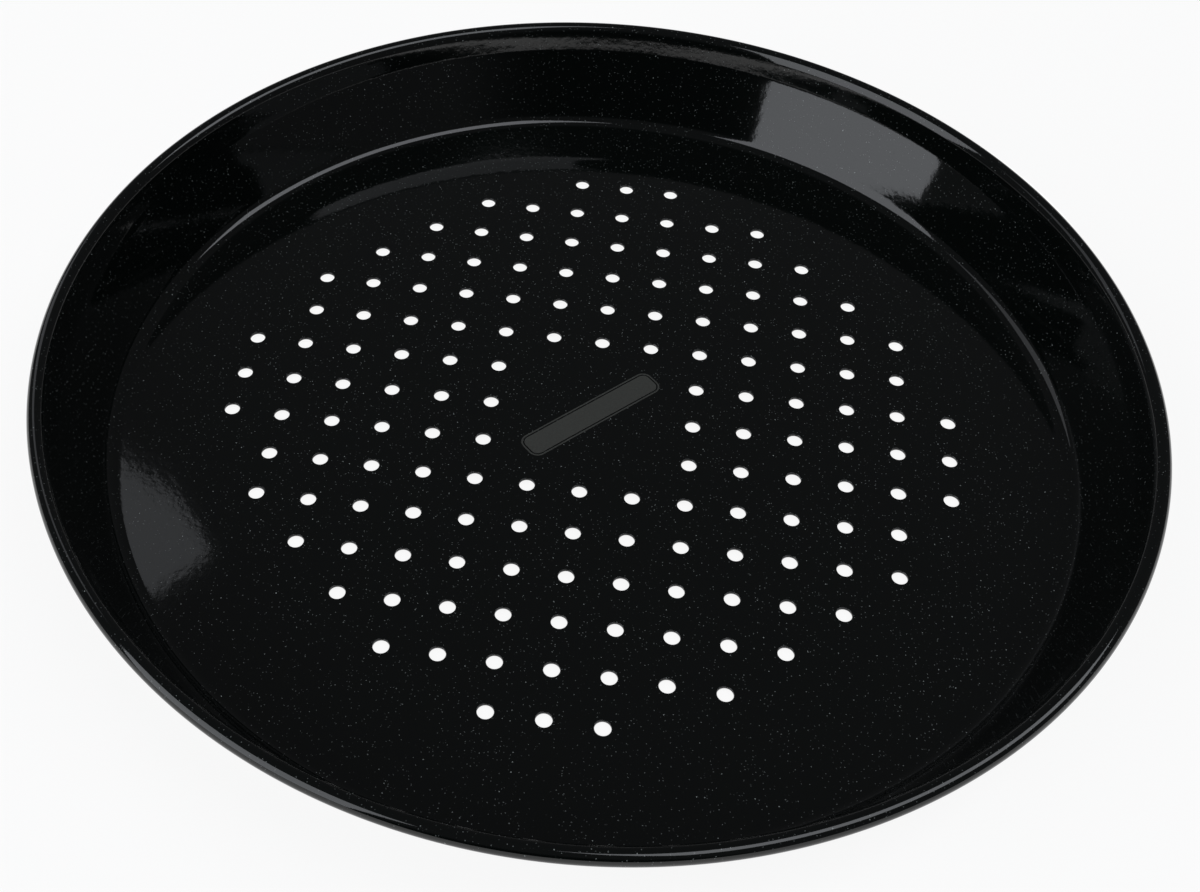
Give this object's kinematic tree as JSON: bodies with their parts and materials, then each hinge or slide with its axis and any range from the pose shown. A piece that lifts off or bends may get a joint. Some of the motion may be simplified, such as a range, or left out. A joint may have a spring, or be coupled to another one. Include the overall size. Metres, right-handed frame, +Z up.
{
  "type": "pizza pan",
  "caption": "Round enamelled steel pizza pan with a flared wall, a rolled rim, a gently crowned floor perforated on a square grid, and a plain printed panel at the centre.",
  "frame": {"origin": "centre of the pan's footprint, in the plane of the surface that it stands on", "axes": "+Z up, along the pan's axis of revolution, out of its open side; +X and +Y along the two directions of the square hole grid, with the printed panel at 45 degrees from +X towards +Y"},
  "size_m": [0.315, 0.315, 0.032],
  "materials": {
    "steel": "satin",
    "enamel_inside": "gloss",
    "enamel_outside": "gloss",
    "print": "satin"
  },
  "bodies": {
    "root": {"steel_pan": "steel", "enamel_inside": "enamel_inside", "enamel_outside": "enamel_outside", "print_panel": "print"}
  },
  "joints": []
}
